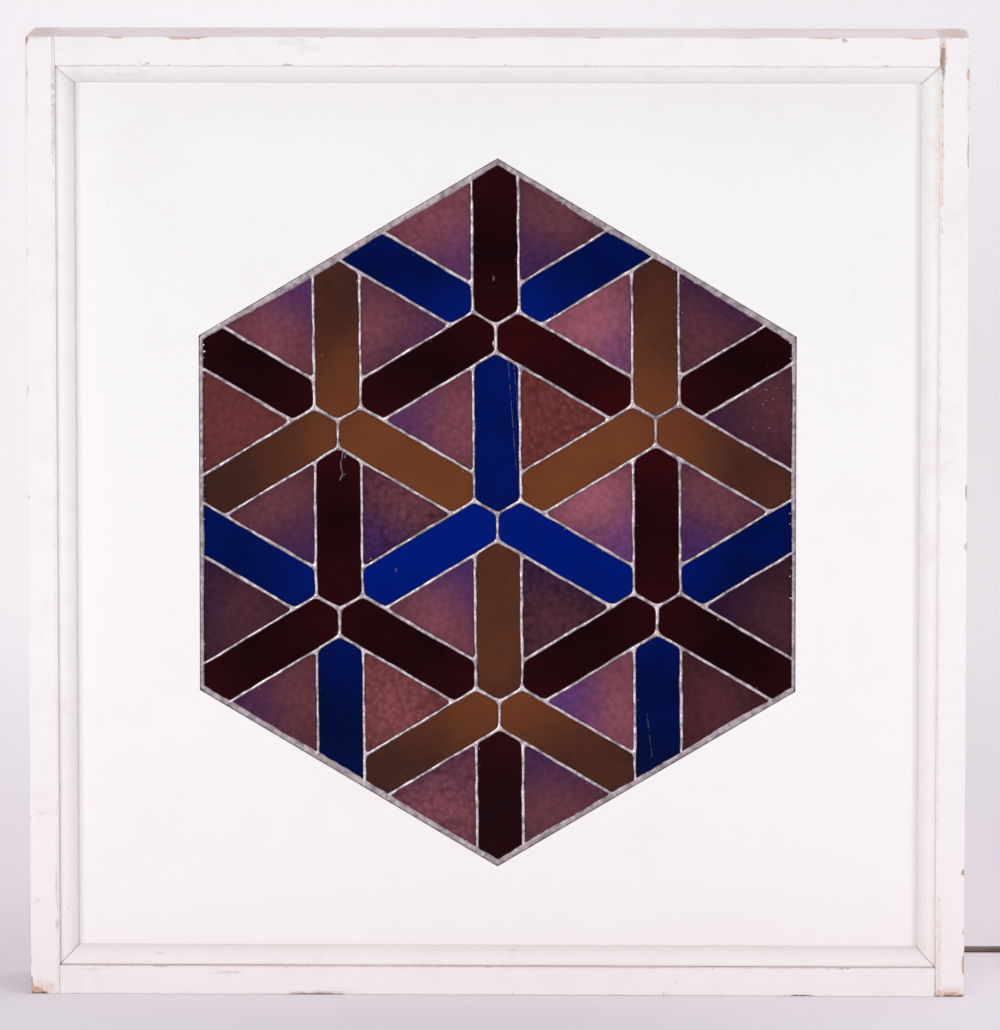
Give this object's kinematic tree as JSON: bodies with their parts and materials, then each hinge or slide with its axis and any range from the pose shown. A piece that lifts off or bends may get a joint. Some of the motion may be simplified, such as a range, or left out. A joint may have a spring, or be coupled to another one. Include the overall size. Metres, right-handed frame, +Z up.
{
  "type": "stained glass light box",
  "caption": "Hexagonal stained glass panel of long panes in fans with triangles between them, soldered together and set in a white painted wooden light box with a flex.",
  "frame": {"origin": "on the surface the box stands on, under the middle of the box (the flex and its strain relief left out)", "axes": "+X to the right as seen from the front, +Y from the front to the back, +Z up; the glass faces -Y"},
  "size_m": [0.7271, 0.1768, 0.632],
  "materials": {
    "board_paint": "old white gloss paint, chipped at the edges",
    "moulding_paint": "old white gloss paint, scuffed",
    "panel_paint": "smooth white paint",
    "back_board": "bare plywood",
    "solder": "hand-run solder bead, dull grey with bright spots",
    "garnet_glass": "dark garnet sheet glass with fine ripples",
    "cobalt_glass": "smooth cobalt glass",
    "amber_glass": "smooth brown amber glass",
    "mauve_glass": "streaky hammered mauve glass",
    "flex": "brown two-core flex",
    "moulded_rubber": "brown moulded rubber",
    "blade_brass": "plain brass"
  },
  "bodies": {
    "root": {"amber_fan_lower_centre": "amber_glass", "amber_fan_upper_left": "amber_glass", "amber_fan_upper_right": "amber_glass", "back_panel": "back_board", "bottom_board": "board_paint", "cobalt_fan_middle_centre": "cobalt_glass", "cobalt_pane_lower_left": "cobalt_glass", "cobalt_pane_lower_right": "cobalt_glass", "cobalt_pane_middle_outer_left": "cobalt_glass", "cobalt_pane_middle_outer_right": "cobalt_glass", "cobalt_pane_top_left": "cobalt_glass", "cobalt_pane_top_right": "cobalt_glass", "cord_coil": "flex", "cord_lead": "flex", "cord_tail": "flex", "front_panel": "panel_paint", "garnet_fan_middle_left": "garnet_glass", "garnet_fan_middle_right": "garnet_glass", "garnet_fan_upper_centre": "garnet_glass", "garnet_pane_bottom_centre": "garnet_glass", "garnet_pane_upper_outer_left": "garnet_glass", "garnet_pane_upper_outer_right": "garnet_glass", "mauve_triangle_01": "mauve_glass", "mauve_triangle_02": "mauve_glass", "mauve_triangle_03": "mauve_glass", "mauve_triangle_04": "mauve_glass", "mauve_triangle_05": "mauve_glass", "mauve_triangle_06": "mauve_glass", "mauve_triangle_07": "mauve_glass", "mauve_triangle_08": "mauve_glass", "mauve_triangle_09": "mauve_glass", "mauve_triangle_10": "mauve_glass", "mauve_triangle_11": "mauve_glass", "mauve_triangle_12": "mauve_glass", "mauve_triangle_13": "mauve_glass", "mauve_triangle_14": "mauve_glass", "mauve_triangle_15": "mauve_glass", "mauve_triangle_16": "mauve_glass", "mauve_triangle_17": "mauve_glass", "mauve_triangle_18": "mauve_glass", "mauve_triangle_19": "mauve_glass", "mauve_triangle_20": "mauve_glass", "mauve_triangle_21": "mauve_glass", "mauve_triangle_22": "mauve_glass", "mauve_triangle_23": "mauve_glass", "mauve_triangle_24": "mauve_glass", "plug_blade_far": "blade_brass", "plug_blade_near": "blade_brass", "plug_body": "moulded_rubber", "quarter_round_bottom": "moulding_paint", "quarter_round_left": "moulding_paint", "quarter_round_right": "moulding_paint", "quarter_round_top": "moulding_paint", "side_board_left": "board_paint", "side_board_right": "board_paint", "solder_net": "solder", "strain_relief": "moulded_rubber", "top_board": "board_paint"}
  },
  "joints": []
}
